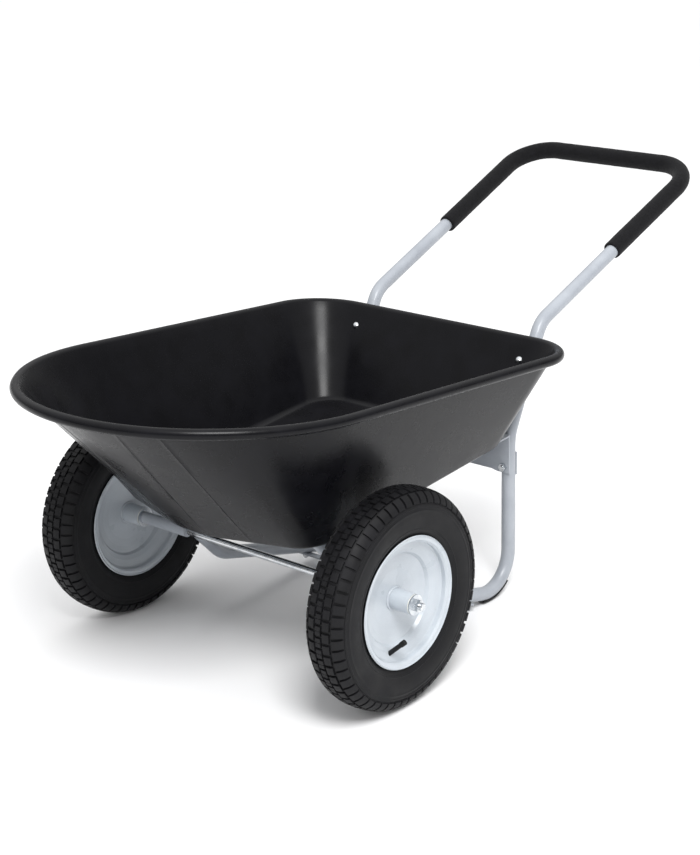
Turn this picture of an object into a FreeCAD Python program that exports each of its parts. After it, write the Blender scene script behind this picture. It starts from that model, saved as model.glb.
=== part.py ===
import FreeCAD, Part
import math
import os
import Sketcher
from FreeCAD import Vector, Placement, Rotation

# Two-wheeled garden cart: steel tray on a bent-tube frame, loop handle at the
# back (+Y), pouring end at the front (-Y), wheels on a straight axle along X.
# Everything is laid out from the axle and moved once, so that the origin sits
# under the middle of the whole cart, on the ground.  Millimetres, +Z up.

doc = FreeCAD.newDocument("garden_cart")
sheet = doc.addObject("Spreadsheet::Sheet", "Sizes")
ROWS = [
    # wheels
    ("tyre_radius", 184.0), ("tyre_width", 76.0), ("half_track", 308.7),
    ("tyre_wall", 5.0), ("crown_wall", 9.5),
    ("groove_depth", 3.0), ("groove_width", 3.0),
    ("bead_seat_radius", 101.6), ("flange_radius", 110.0), ("rim_half_width", 31.0),
    ("well_radius", 86.0), ("rim_sheet", 2.0), ("dish_depth", 3.5),
    ("hub_diameter", 35.0), ("hub_bore", 29.0), ("hub_length", 86.0),
    ("bush_flange", 1.5), ("bush_depth", 18.0), ("axle_running_gap", 0.05),
    ("tube_wall", 2.0), ("soft_gap", 0.4), ("valve_diameter", 8.0), ("valve_length", 30.0),
    ("valve_angle", 250.0), ("valve_seat_out", 18.0), ("cap_length", 9.0), ("cap_diameter", 9.4), 
    # axle
    ("axle_diameter", 12.7), ("axle_end", 5.0), ("side_play", 0.5),
    ("sleeve_diameter", 21.3), ("sleeve_clearance", 0.2), ("sleeve_inner_end", 156.0),
    ("washer_diameter", 34.0), ("washer_thick", 2.5), ("axle_nut_flats", 19.0), ("axle_nut_height", 10.5),
    # frame tube
    ("tube_diameter", 25.0), ("tube_gauge", 1.5), ("frame_half_width", 191.0), ("leg_y", 474.3),
    ("foot_bend", 65.0), ("knee_bend", 60.0), ("back_bend", 80.0),
    ("strut_angle", 15.6), ("riser_angle", 47.0), ("weld_gap", 0.05),
    ("pad_thick", 3.7), ("pad_width", 18.0), ("pad_front_angle", 30.0), ("pad_back_angle", 42.0),
    ("spigot_length", 78.0), ("spigot_clearance", 0.1),
    # handle
    ("handle_angle", 21.06), ("handle_back_y", 1081.0), ("handle_back_z", 686.6),
    ("handle_half_width", 201.2), ("handle_corner", 76.0), ("handle_bend", 55.0), ("handle_end_z", 385.0),
    ("foam_diameter", 34.0), ("foam_clearance", 0.1), ("foam_leg_y", 794.9),
    # tray
    ("tray_sheet", 1.5), ("roll_radius", 9.0), ("roll_slit", 14.0),
    ("rim_height", 503.5), ("rim_slope", -4.18),
    ("rim_half_width_rear", 308.9), ("rim_rear_y", 528.7), ("rim_rear_round", 101.0),
    ("rim_half_width_mid", 308.2), ("rim_mid_y", -200.8), ("rim_mid_round", 321.0),
    ("rim_half_width_nose", 129.9), ("rim_nose_y", -393.3), ("rim_nose_round", 291.0),
    ("floor_height", 272.0), ("floor_slope", 4.34),
    ("floor_half_width", 220.0), ("floor_rear_y", 440.0), ("floor_rear_round", 60.0),
    ("floor_mid_y", -82.0), ("floor_mid_round", 60.0),
    ("floor_half_width_nose", 35.0), ("floor_nose_y", -131.0), ("floor_nose_round", 100.0),
    ("floor_fillet", 15.0),
    # brackets and bars
    ("bar_thick", 3.0), ("stand_off", 20.0), ("spacer_diameter", 16.0),
    ("wall_bolt_z", 434.0), ("leg_bolt_z", 245.0),
    ("back_plate_height", 43.0), ("back_plate_over", 8.0),
    ("support_drop", 11.0), ("support_flange", 62.0), ("support_arch", 26.0), ("support_over", 12.0),
    ("front_bar_width", 40.0), ("front_bar_y", -38.0), ("front_bar_over", 11.0),
    ("foot_bar_width", 25.0), ("foot_bar_y", 346.0), ("foot_bar_over", 12.0),
    ("floor_bolt_front_x", 110.0), ("floor_bolt_rear_x", 90.0), ("floor_bolt_rear_y", 408.0),
    # fasteners
    ("bolt_diameter", 8.0), ("bolt_clearance", 0.25), ("head_diameter", 14.6), ("head_height", 4.6),
    ("nut_flats", 13.0), ("nut_height", 6.8), ("bolt_tail", 3.0),
    ("small_bolt_diameter", 6.0), ("small_nut_flats", 10.0), ("small_nut_height", 5.2),
    ("small_head_diameter", 12.0), ("small_head_height", 3.4), ("floor_washer_diameter", 18.0), ("floor_washer_thick", 1.6),
]
for i, (name, value) in enumerate(ROWS, 1):
    sheet.set("A%d" % i, name)
    sheet.set("B%d" % i, repr(value))
    sheet.setAlias("B%d" % i, name)
doc.recompute()
for i, (name, value) in enumerate(ROWS, 1):
    assert abs(float(getattr(sheet, name)) - value) < 1e-9, name


class Sizes:
    def __getattr__(self, name):
        return float(getattr(sheet, name))


S = Sizes()
nodes = []

# ---------------------------------------------------------------- layout
R_TUBE = S.tube_diameter / 2
y_low = S.rim_nose_y - S.roll_radius
y_high = S.handle_back_y + S.foam_diameter / 2
SHIFT = Vector(0, -(y_low + y_high) / 2, 0)      # axle frame to cart frame
AXLE_Z = S.tyre_radius
rad = math.radians


def feature(label, shape):
    obj = doc.addObject("Part::Feature", "Shape_" + label)
    obj.Shape = shape
    obj.Label = label
    obj.Placement = Placement(SHIFT, Rotation()).multiply(shape.Placement)
    nodes.append(obj)
    return obj


# plane coordinates (x, along the plane) of the tray's sloping sections
def on_slope(height, slope, x, y):
    return Vector(x, y, height + math.tan(rad(slope)) * y)


def floor_z(y):
    return S.floor_height + math.tan(rad(S.floor_slope)) * y


def rim_z(y):
    return S.rim_height + math.tan(rad(S.rim_slope)) * y


# rear wall line (outer face) between floor and rim, in the YZ plane
wall_lo = Vector(0, S.floor_rear_y, floor_z(S.floor_rear_y))
wall_hi = Vector(0, S.rim_rear_y - S.roll_radius + S.tray_sheet, rim_z(S.rim_rear_y))
wall_dir = (wall_hi - wall_lo).normalize()
wall_out = Vector(0, wall_dir.z, -wall_dir.y)          # points backwards

# the slanting tube behind the wall runs parallel to it
tube_point = wall_lo + wall_out * (S.stand_off + R_TUBE)
slant = wall_dir


def meet(p, d, q, e):
    """Crossing of two lines p+t*d and q+u*e in the YZ plane."""
    det = d.y * (-e.z) + e.y * d.z
    t = ((q.y - p.y) * (-e.z) + e.y * (q.z - p.z)) / det
    return p + d * t


handle_dir = Vector(0, math.cos(rad(S.handle_angle)), math.sin(rad(S.handle_angle)))
back_point = Vector(0, S.handle_back_y, S.handle_back_z)
bend_v = meet(tube_point, slant, back_point, handle_dir)          # handle bend
leg_top = meet(tube_point, slant, Vector(0, S.leg_y, 0), Vector(0, 0, 1))
# foot: the arc's lowest point stands on the pad
strut_dir = Vector(0, -math.cos(rad(S.strut_angle)), math.sin(rad(S.strut_angle)))
foot_half = math.tan(rad((90 + S.strut_angle) / 2))
foot_centre = Vector(0, S.leg_y - S.foot_bend, S.foot_bend + R_TUBE + S.pad_thick)
foot_corner = Vector(0, S.leg_y, foot_centre.z - S.foot_bend * foot_half)
riser_dir = Vector(0, -math.cos(rad(S.riser_angle)), math.sin(rad(S.riser_angle)))
riser_nrm = Vector(0, math.sin(rad(S.riser_angle)), math.cos(rad(S.riser_angle)))
riser_point = Vector(0, 0, AXLE_Z) + riser_nrm * (R_TUBE + S.sleeve_diameter / 2 + S.weld_gap)
knee = meet(foot_corner, strut_dir, riser_point, riser_dir)
riser_end = meet(riser_point, riser_dir, Vector(0, 0, floor_z(0) + 6),
                 Vector(0, 1, math.tan(rad(S.floor_slope))))


def route(points, radii):
    """Straight runs joined by tangent arcs, as one wire."""
    edges = []
    last = points[0]
    for i in range(1, len(points) - 1):
        a, b, c = points[i - 1], points[i], points[i + 1]
        u = (a - b).normalize()
        v = (c - b).normalize()
        half = math.acos(max(-1, min(1, u.dot(v)))) / 2
        r = radii[i - 1]
        t = r / math.tan(half)
        p, q = b + u * t, b + v * t
        mid = b + (u + v).normalize() * (r / math.sin(half) - r)
        edges.append(Part.LineSegment(last, p).toShape())
        edges.append(Part.Arc(p, mid, q).toShape())
        last = q
    edges.append(Part.LineSegment(last, points[-1]).toShape())
    return Part.Wire(edges)


def ring_sweep(path, start, tangent, r_out, r_in):
    outer = Part.Wire(Part.makeCircle(r_out, start, tangent))
    inner = Part.Wire(Part.makeCircle(r_in, start, tangent))
    a = path.makePipeShell([outer], True, False)
    b = path.makePipeShell([inner], True, False)
    return a.cut(b)


def at_x(p, x):
    return Vector(x, p.y, p.z)


# ---------------------------------------------------------------- bolts
wall_bolt_at = wall_lo + wall_dir * ((S.wall_bolt_z - wall_lo.z) / wall_dir.z)
foot_bar_p = foot_corner + strut_dir * ((S.leg_y - S.foot_bar_y) / math.cos(rad(S.strut_angle)))
strut_nrm = Vector(0, math.sin(rad(S.strut_angle)), math.cos(rad(S.strut_angle)))
floor_nrm = Vector(0, -math.sin(rad(S.floor_slope)), math.cos(rad(S.floor_slope)))
BOLT_R = S.bolt_diameter / 2
HOLE_R = BOLT_R + S.bolt_clearance
SMALL_R = S.small_bolt_diameter / 2
SMALL_HOLE = SMALL_R + S.bolt_clearance
FLOOR_BOLTS = [(sx * S.floor_bolt_front_x, S.front_bar_y) for sx in (-1, 1)] + \
              [(sx * S.floor_bolt_rear_x, S.floor_bolt_rear_y) for sx in (-1, 1)]


def cyl(base, direction, r, length):
    return Part.makeCylinder(r, length, base, direction)


def hexagon(base, direction, flats, height, bore):
    r = flats / math.sqrt(3)
    pts = [Vector(r * math.cos(math.pi * k / 3), r * math.sin(math.pi * k / 3), 0) for k in range(6)]
    prism = Part.Face(Part.makePolygon(pts + [pts[0]])).extrude(Vector(0, 0, height))
    ball = Part.makeCone(flats / 2 * 1.02 + height, flats / 2 * 1.02, height, Vector(0, 0, 0))
    prism = prism.common(ball)
    prism = prism.cut(Part.makeCylinder(bore, height + 2, Vector(0, 0, -1)))
    prism.Placement = Placement(base, Rotation(Vector(0, 0, 1), direction))
    return prism


def button(base, direction, r, height):
    """Low domed head whose flat face is at base; the dome points along direction."""
    big = (r * r + height * height) / (2 * height)
    ball = Part.makeSphere(big, Vector(0, 0, height - big))
    head = ball.common(Part.makeCylinder(r, height + 1, Vector(0, 0, 0)))
    head.Placement = Placement(base, Rotation(Vector(0, 0, 1), direction))
    return head


# ---------------------------------------------------------------- tray
def outline(levels, inset):
    """Closed wire: rounded outline on a sloping plane, moved inwards by inset all round."""
    s = levels
    half_list = [(s["wr"], s["yr"], s["rr"]), (s["wm"], s["ym"], s["rm"]), (s["wn"], s["yn"], s["rn"])]
    P = [Vector(x, y, 0) for x, y, r in half_list] + [Vector(-x, y, 0) for x, y, r in reversed(half_list)]
    rs = [r for x, y, r in half_list] + [r for x, y, r in reversed(half_list)]
    n = len(P)
    turn = []
    for i in range(n):
        a, b, c = P[i - 1], P[i], P[(i + 1) % n]
        u = (a - b).normalize()
        v = (c - b).normalize()
        half = math.acos(max(-1, min(1, u.dot(v)))) / 2
        t = min(rs[i] / math.tan(half), 0.485 * (a - b).Length, 0.485 * (c - b).Length)
        r = t * math.tan(half)
        turn.append((b + (u + v).normalize() * (r / math.sin(half)), u, v, half, r - inset))
    edges = []
    tang = []
    for centre, u, v, half, r in turn:
        inward = (u + v).normalize()
        corner = centre - inward * (r / math.sin(half))
        t = r / math.tan(half)
        tang.append((corner + u * t, centre - inward * r, corner + v * t))
    for i in range(n):
        p, mid, q = tang[i]
        edges.append(Part.Arc(p, mid, q).toShape())
        edges.append(Part.LineSegment(q, tang[(i + 1) % n][0]).toShape())
    wire = Part.Wire(edges)
    wire.Placement = Placement(Vector(0, 0, s["z"]), Rotation(Vector(1, 0, 0), s["slope"]))
    return wire


FLOOR = dict(wr=S.floor_half_width, yr=S.floor_rear_y / math.cos(rad(S.floor_slope)), rr=S.floor_rear_round,
             wm=S.floor_half_width, ym=S.floor_mid_y, rm=S.floor_mid_round,
             wn=S.floor_half_width_nose, yn=S.floor_nose_y, rn=S.floor_nose_round,
             z=S.floor_height, slope=S.floor_slope)
c_rim = math.cos(rad(S.rim_slope))
RIM = dict(wr=S.rim_half_width_rear, yr=S.rim_rear_y / c_rim, rr=S.rim_rear_round,
           wm=S.rim_half_width_mid, ym=S.rim_mid_y / c_rim, rm=S.rim_mid_round,
           wn=S.rim_half_width_nose, yn=S.rim_nose_y / c_rim, rn=S.rim_nose_round,
           z=S.rim_height, slope=S.rim_slope)


def tub(inset_floor, inset_rim, lift, fillet):
    low = outline(dict(FLOOR, z=FLOOR["z"] + lift), inset_floor)
    high = outline(RIM, inset_rim)
    body = Part.makeLoft([low, high], True, True)
    edges = []
    for e in body.Edges:
        m = e.valueAt((e.FirstParameter + e.LastParameter) / 2)
        if abs(m.z - (floor_z(m.y) + lift)) < 0.6:
            edges.append(e)
    return body.makeFillet(fillet, edges)


outer = tub(0.0, S.roll_radius - S.tray_sheet, 0.0, S.floor_fillet + S.tray_sheet)
inner = tub(S.tray_sheet, S.roll_radius, S.tray_sheet, S.floor_fillet)
shell = outer.cut(inner)
# rolled edge: an almost closed curl swept round the rim outline
path = outline(RIM, 0.0)
start = path.Edges[-1].valueAt(path.Edges[-1].FirstParameter)
v0, v1 = path.Edges[-1].firstVertex().Point, path.Edges[-1].lastVertex().Point
tangent = (v1 - v0).normalize()
up = Vector(0, -math.sin(rad(S.rim_slope)), math.cos(rad(S.rim_slope)))
side = tangent.cross(up).normalize()
if side.dot(Vector(v0.x, v0.y - (S.rim_rear_y + S.rim_nose_y) / 2, 0)) < 0:
    side = side * -1.0                                       # side points outwards


def curl_point(centre, r, angle):
    return centre + side * (r * math.cos(rad(angle))) + up * (r * math.sin(rad(angle)))


a0, a1 = -180.0 + S.roll_slit + 12, 180.0
ro, ri = S.roll_radius, S.roll_radius - S.tray_sheet
p = v0
am = (a0 + a1) / 2
curl = Part.Wire([
    Part.Arc(curl_point(p, ro, a0), curl_point(p, ro, am), curl_point(p, ro, a1)).toShape(),
    Part.LineSegment(curl_point(p, ro, a1), curl_point(p, ri, a1)).toShape(),
    Part.Arc(curl_point(p, ri, a1), curl_point(p, ri, am), curl_point(p, ri, a0)).toShape(),
    Part.LineSegment(curl_point(p, ri, a0), curl_point(p, ro, a0)).toShape()])
order = path.Edges[-1:] + path.Edges[:-1]
roll = Part.Wire(order).makePipeShell([curl], True, False)
tray = shell.fuse(roll)
for sx in (-1, 1):
    tray = tray.cut(cyl(at_x(wall_bolt_at, sx * S.frame_half_width) - wall_out * 10, wall_out, HOLE_R, 20))
for x, y in FLOOR_BOLTS:
    tray = tray.cut(cyl(Vector(x, y, floor_z(y)) - floor_nrm * 10, floor_nrm, HOLE_R, 20))
tray = tray.removeSplitter()
feature("tray", tray)

# ---------------------------------------------------------------- frame tubes
def frame_tube(sx):
    x = sx * S.frame_half_width
    top = meet(tube_point, slant, Vector(0, 0, S.handle_end_z), Vector(0, 1, 0)) - slant * 0.3
    pts = [at_x(q, x) for q in (top, leg_top, foot_corner, knee, riser_end)]
    path = route(pts, [S.back_bend, S.foot_bend, S.knee_bend])
    body = ring_sweep(path, pts[0], (pts[1] - pts[0]).normalize(), R_TUBE, R_TUBE - S.tube_gauge)
    # mitre under the front bar
    top_face = Vector(0, 0, floor_z(0)) - floor_nrm * (S.bar_thick + S.weld_gap)
    block = Part.makeBox(200, 400, 120)
    block.Placement = Placement(Vector(x - 100, 0, 0) + top_face - Vector(0, 200 * math.cos(rad(S.floor_slope)), 200 * math.sin(rad(S.floor_slope))),
                                Rotation(Vector(1, 0, 0), S.floor_slope))
    keep = Part.makeBox(400, 700, 900, Vector(x - 200, 130, -50))
    front = body.cut(keep).cut(block)
    back = body.common(keep)
    body = front.fuse(back).removeSplitter()
    # swaged spigot that slides up inside the handle tube
    so = R_TUBE - S.tube_gauge - S.spigot_clearance
    spigot = cyl(pts[0] - slant * 4, slant, so, S.spigot_length + 4).cut(
        cyl(pts[0] - slant * 6, slant, so - S.tube_gauge, S.spigot_length + 8))
    neck = cyl(pts[0] - slant * 4, slant, R_TUBE - 0.4, 4).cut(cyl(pts[0] - slant * 5, slant, so - S.tube_gauge, 6))
    body = body.fuse(spigot).fuse(neck)
    # holes: wall bolt through the spigot, leg bolt, foot-bar bolt
    b = at_x(wall_bolt_at, x)
    body = body.cut(cyl(b, wall_out, HOLE_R, S.stand_off + S.tube_diameter + 20))
    body = body.cut(cyl(Vector(x, S.leg_y - 40, S.leg_bolt_z), Vector(0, 1, 0), HOLE_R, 80))
    body = body.cut(cyl(at_x(foot_bar_p, x) - strut_nrm * 30, strut_nrm, SMALL_HOLE, 60))
    return body.removeSplitter()


for sx, name in ((-1, "left"), (1, "right")):
    feature(name + "_frame_tube", frame_tube(sx))

# rubber strip under each foot bend: turned about the bend's own centre
for sx, name in ((-1, "left"), (1, "right")):
    x = sx * S.frame_half_width
    c = at_x(foot_centre, x)
    low = c - Vector(0, 0, S.foot_bend)
    half_w = S.pad_width / 2
    r1 = R_TUBE + S.weld_gap / 2
    r2 = R_TUBE + S.pad_thick
    inner_z = low.z - math.sqrt(r1 * r1 - half_w * half_w)
    outer_z = low.z - math.sqrt(r2 * r2 - half_w * half_w)
    a = Vector(x - half_w, c.y, inner_z)
    b = Vector(x, c.y, low.z - r1)
    d = Vector(x + half_w, c.y, inner_z)
    e = Vector(x + half_w, c.y, outer_z)
    f = Vector(x, c.y, low.z - r2)
    g = Vector(x - half_w, c.y, outer_z)
    face = Part.Face(Part.Wire([Part.Arc(a, b, d).toShape(), Part.LineSegment(d, e).toShape(),
                                Part.Arc(e, f, g).toShape(), Part.LineSegment(g, a).toShape()]))
    first = face.copy()
    first.rotate(c, Vector(1, 0, 0), -min(S.pad_front_angle, S.strut_angle))
    pad = first.revolve(c, Vector(1, 0, 0), min(S.pad_front_angle, S.strut_angle) + S.pad_back_angle)
    feature(name + "_foot_pad", pad)

# ---------------------------------------------------------------- handle
def handle():
    end = meet(tube_point, slant, Vector(0, 0, S.handle_end_z), Vector(0, 1, 0))
    k = S.handle_half_width
    f = S.frame_half_width
    return [at_x(end, f), at_x(bend_v, f), at_x(back_point, k), at_x(back_point, -k), at_x(bend_v, -f), at_x(end, -f)]


hp = handle()
radii = [S.handle_bend, S.handle_corner, S.handle_corner, S.handle_bend]
hpath = route(hp, radii)
loop = ring_sweep(hpath, hp[0], (hp[1] - hp[0]).normalize(), R_TUBE, R_TUBE - S.tube_gauge)
for sx in (-1, 1):
    b = at_x(wall_bolt_at, sx * S.frame_half_width)
    loop = loop.cut(cyl(b, wall_out, HOLE_R, S.stand_off + S.tube_diameter + 20))
feature("handle_tube", loop)

# foam sleeve over the loop, from the right side round to the left
leg_v = (hp[2] - hp[1]).normalize()
g0 = hp[1] + leg_v * ((S.foam_leg_y - hp[1].y) / leg_v.y)
g1 = Vector(-g0.x, g0.y, g0.z)
fpath = route([g0, hp[2], hp[3], g1], [S.handle_corner, S.handle_corner])
foam = ring_sweep(fpath, g0, leg_v, S.foam_diameter / 2, R_TUBE + S.foam_clearance)
feature("handle_foam", foam)

# ---------------------------------------------------------------- bars and plates
def slab(label, length_x, pts, holes=()):
    """A bar along X with the closed YZ section pts, then drilled."""
    wire = Part.makePolygon([Vector(-length_x / 2, p[0], p[1]) for p in pts + [pts[0]]])
    body = Part.Face(wire).extrude(Vector(length_x, 0, 0))
    for h in holes:
        body = body.cut(h)
    return body


full = 2 * S.frame_half_width
leg_back = S.leg_y + R_TUBE
plate = slab("back", full + 2 * S.back_plate_over,
             [(leg_back, S.leg_bolt_z - S.back_plate_height / 2), (leg_back + S.bar_thick, S.leg_bolt_z - S.back_plate_height / 2),
              (leg_back + S.bar_thick, S.leg_bolt_z + S.back_plate_height / 2), (leg_back, S.leg_bolt_z + S.back_plate_height / 2)],
             [cyl(Vector(sx * S.frame_half_width, leg_back - 5, S.leg_bolt_z), Vector(0, 1, 0), HOLE_R, 20) for sx in (-1, 1)])
feature("rear_cross_plate", plate)

# angle under the back of the tray: upright web in front of the legs, flange under the floor
leg_front = S.leg_y - R_TUBE
tf = math.tan(rad(S.floor_slope))
top0, top1 = leg_front - S.support_flange, leg_front
sec = [(leg_front - S.bar_thick, S.leg_bolt_z - S.support_drop), (leg_front, S.leg_bolt_z - S.support_drop),
       (leg_front, floor_z(top1) - S.weld_gap), (top0, floor_z(top0) - S.weld_gap),
       (top0, floor_z(top0) - S.weld_gap - S.bar_thick), (leg_front - S.bar_thick, floor_z(top1 - S.bar_thick) - S.weld_gap - S.bar_thick)]
span = full + 2 * S.support_over
angle = slab("support", span, sec)
low_z = S.leg_bolt_z - S.support_drop
arch = Part.makePolygon([Vector(-S.frame_half_width + 14, 0, low_z - 5), Vector(-S.frame_half_width + 14, 0, low_z),
                         Vector(-S.frame_half_width + 14 + S.support_arch * 5, 0, low_z + S.support_arch),
                         Vector(S.frame_half_width - 14 - S.support_arch * 5, 0, low_z + S.support_arch),
                         Vector(S.frame_half_width - 14, 0, low_z), Vector(S.frame_half_width - 14, 0, low_z - 5),
                         Vector(-S.frame_half_width + 14, 0, low_z - 5)])
arch_block = Part.Face(arch).extrude(Vector(0, 20, 0))
arch_block.translate(Vector(0, leg_front - 12, 0))
angle = angle.cut(arch_block)
for sx in (-1, 1):
    angle = angle.cut(cyl(Vector(sx * S.frame_half_width, leg_front - 10, S.leg_bolt_z), Vector(0, 1, 0), HOLE_R, 20))
    angle = angle.cut(cyl(Vector(sx * S.floor_bolt_rear_x, S.floor_bolt_rear_y, floor_z(S.floor_bolt_rear_y)) - floor_nrm * 10, floor_nrm, HOLE_R, 20))
feature("rear_support_angle", angle)

# flat bar across the tops of the risers, under the front of the floor
fb = Part.makeBox(full + 2 * S.front_bar_over, S.front_bar_width, S.bar_thick)
fb.Placement = Placement(Vector(-full / 2 - S.front_bar_over, S.front_bar_y, floor_z(S.front_bar_y)) - floor_nrm * (S.bar_thick + S.weld_gap / 2)
                         - Vector(0, math.cos(rad(S.floor_slope)), math.sin(rad(S.floor_slope))) * (S.front_bar_width / 2),
                         Rotation(Vector(1, 0, 0), S.floor_slope))
for sx in (-1, 1):
    fb = fb.cut(cyl(Vector(sx * S.floor_bolt_front_x, S.front_bar_y, floor_z(S.front_bar_y)) - floor_nrm * 10, floor_nrm, HOLE_R, 20))
feature("front_cross_bar", fb)

# flat bar that ties the two struts just in front of the feet
ft = Part.makeBox(full + 2 * S.foot_bar_over, S.foot_bar_width, S.bar_thick)
ft.Placement = Placement(Vector(-full / 2 - S.foot_bar_over, 0, 0) + foot_bar_p - strut_nrm * (R_TUBE + S.bar_thick)
                         + strut_dir * (S.foot_bar_width / 2), Rotation(Vector(1, 0, 0), -S.strut_angle))
for sx in (-1, 1):
    ft = ft.cut(cyl(at_x(foot_bar_p, sx * S.frame_half_width) - strut_nrm * 30, strut_nrm, SMALL_HOLE, 60))
feature("foot_tie_bar", ft)

# ---------------------------------------------------------------- axle, sleeves, washers, nuts
hub_half = S.hub_length / 2
sleeve_out = S.half_track - hub_half - S.side_play - S.washer_thick
axle_half = S.half_track + hub_half + S.side_play + S.washer_thick + S.axle_nut_height + S.axle_end


def turned(label, profile, at):
    """PartDesign body: closed profile (axial, radius) expressions turned about X."""
    body = doc.addObject("PartDesign::Body", "Body_" + label)
    sk = body.newObject("Sketcher::SketchObject", "Profile_" + label)
    plane = [o for o in body.Origin.OriginFeatures if o.Role == "XZ_Plane"][0]
    sk.AttachmentSupport = [(plane, "")]
    sk.MapMode = "FlatFace"
    n = len(profile)
    num = [(at(ex), at(er)) for ex, er in profile]
    for k in range(n):
        a, b = num[k], num[(k + 1) % n]
        sk.addGeometry(Part.LineSegment(Vector(a[0], a[1], 0), Vector(b[0], b[1], 0)), False)
    for k in range(n):
        sk.addConstraint(Sketcher.Constraint("Coincident", k, 2, (k + 1) % n, 1))
    for k in range(n):
        ex, er = profile[k]
        c1 = sk.addConstraint(Sketcher.Constraint("DistanceX", -1, 1, k, 1, num[k][0]))
        sk.setExpression("Constraints[%d]" % c1, ex)
        c2 = sk.addConstraint(Sketcher.Constraint("DistanceY", -1, 1, k, 1, num[k][1]))
        sk.setExpression("Constraints[%d]" % c2, er)
    rev = body.newObject("PartDesign::Revolution", "Turn_" + label)
    rev.Profile = sk
    rev.ReferenceAxis = (sk, ["H_Axis"])
    rev.Angle = 360.0
    return body


def value(expr):
    text = expr
    for name, _ in sorted(ROWS, key=lambda r: -len(r[0])):
        text = text.replace("Sizes." + name, repr(float(getattr(sheet, name))))
    parts = text.replace("(", " ( ").replace(")", " ) ").split()
    return arith(parts)


def arith(tok):
    """Small left-to-right evaluator for + - * / and brackets."""
    pos = [0]

    def atom():
        t = tok[pos[0]]
        pos[0] += 1
        if t == "(":
            v = add()
            pos[0] += 1
            return v
        if t == "-":
            return -atom()
        return float(t)

    def mul():
        v = atom()
        while pos[0] < len(tok) and tok[pos[0]] in ("*", "/"):
            o = tok[pos[0]]
            pos[0] += 1
            w = atom()
            v = v * w if o == "*" else v / w
        return v

    def add():
        v = mul()
        while pos[0] < len(tok) and tok[pos[0]] in ("+", "-"):
            o = tok[pos[0]]
            pos[0] += 1
            w = mul()
            v = v + w if o == "+" else v - w
        return v

    return add()


def put(body, label, x):
    body.Label = label
    body.Placement = Placement(SHIFT + Vector(x, 0, AXLE_Z), Rotation())
    nodes.append(body)


HH = "Sizes.hub_length / 2"
TR = "Sizes.half_track"
AR = "Sizes.axle_diameter / 2"
AH = "( " + TR + " + " + HH + " + Sizes.side_play + Sizes.washer_thick + Sizes.axle_nut_height + Sizes.axle_end )"
axle_profile = [("- " + AH, "0"), ("- " + AH, AR + " - 1"), ("- " + AH + " + 1", AR),
                (AH + " - 1", AR), (AH, AR + " - 1"), (AH, "0")]
put(turned("axle", axle_profile, value), "axle", 0)
SB = "( Sizes.axle_diameter / 2 + Sizes.sleeve_clearance )"
SO = "( " + TR + " - " + HH + " - Sizes.side_play - Sizes.washer_thick )"
for sx, name in ((-1, "left"), (1, "right")):
    lo, hi = ("Sizes.sleeve_inner_end", SO)
    if sx < 0:
        lo, hi = "- " + SO, "- Sizes.sleeve_inner_end"
    sleeve_profile = [(lo, SB), (lo, "Sizes.sleeve_diameter / 2"), (hi, "Sizes.sleeve_diameter / 2"), (hi, SB)]
    put(turned(name + "_axle_sleeve", sleeve_profile, value), name + "_axle_sleeve", 0)

washers = []
for sx in (-1, 1):
    for x in (sleeve_out, S.half_track + hub_half + S.side_play):
        base = Vector(sx * x, 0, AXLE_Z)
        d = Vector(sx, 0, 0)
        washers.append(cyl(base, d, S.washer_diameter / 2, S.washer_thick).cut(cyl(base - d, d, S.axle_diameter / 2 + S.sleeve_clearance, S.washer_thick + 2)))
feature("axle_washers", Part.makeCompound(washers))
nuts = []
for sx in (-1, 1):
    base = Vector(sx * (S.half_track + hub_half + S.side_play + S.washer_thick), 0, AXLE_Z)
    nuts.append(hexagon(base, Vector(sx, 0, 0), S.axle_nut_flats, S.axle_nut_height, S.axle_diameter / 2 + 0.02))
feature("axle_lock_nuts", Part.makeCompound(nuts))

# ---------------------------------------------------------------- wheels
def spin(profile):
    """Closed (axial, radius) polygon turned about X at the wheel's middle."""
    pts = [Vector(a, 0, r) for a, r in profile]
    face = Part.Face(Part.makePolygon(pts + [pts[0]]))
    return face.revolve(Vector(0, 0, 0), Vector(1, 0, 0), 360)


def sheet_band(line, t):
    """Closed polygon of thickness t whose middle is the open line, mitred at the corners."""
    n = len(line)
    left, right = [], []
    for i in range(n):
        ax, ar = line[i]
        dirs = []
        if i > 0:
            dx, dr = ax - line[i - 1][0], ar - line[i - 1][1]
            length = math.hypot(dx, dr)
            dirs.append((dx / length, dr / length))
        if i < n - 1:
            dx, dr = line[i + 1][0] - ax, line[i + 1][1] - ar
            length = math.hypot(dx, dr)
            dirs.append((dx / length, dr / length))
        if len(dirs) == 2:
            nx, nr = -(dirs[0][1] + dirs[1][1]), dirs[0][0] + dirs[1][0]
            length = math.hypot(nx, nr)
            nx, nr = nx / length, nr / length
            k = 1 / max(0.5, nx * -dirs[0][1] + nr * dirs[0][0])
        else:
            nx, nr, k = -dirs[0][1], dirs[0][0], 1.0
        left.append((ax + nx * t / 2 * k, ar + nr * t / 2 * k))
        right.append((ax - nx * t / 2 * k, ar - nr * t / 2 * k))
    return left + right[::-1]


HR = S.hub_diameter / 2
w = S.rim_half_width
g = S.rim_sheet / 2 + 0.02
disc_line = [(g, HR + 0.05), (g, HR + 32), (g + 1.2, HR + 46), (g + S.dish_depth, S.well_radius - 11),
             (g + S.dish_depth + 5.5, S.well_radius - 7.5), (14, S.well_radius), (17.5, S.bead_seat_radius - 4),
             (20, S.bead_seat_radius - 1), (w - 3.5, S.bead_seat_radius - 0.8), (w - 1, S.bead_seat_radius + 1.5),
             (w - 0.4, S.flange_radius - 2.5), (w + 1.8, S.flange_radius)]
BW = S.tyre_width / 2
TRD = S.tyre_radius
seat = S.bead_seat_radius + S.rim_sheet / 2 - 0.8 + 0.15
bead_x = w - 1 - S.rim_sheet / 2 - 0.55
sec_h = TRD - S.flange_radius


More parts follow.
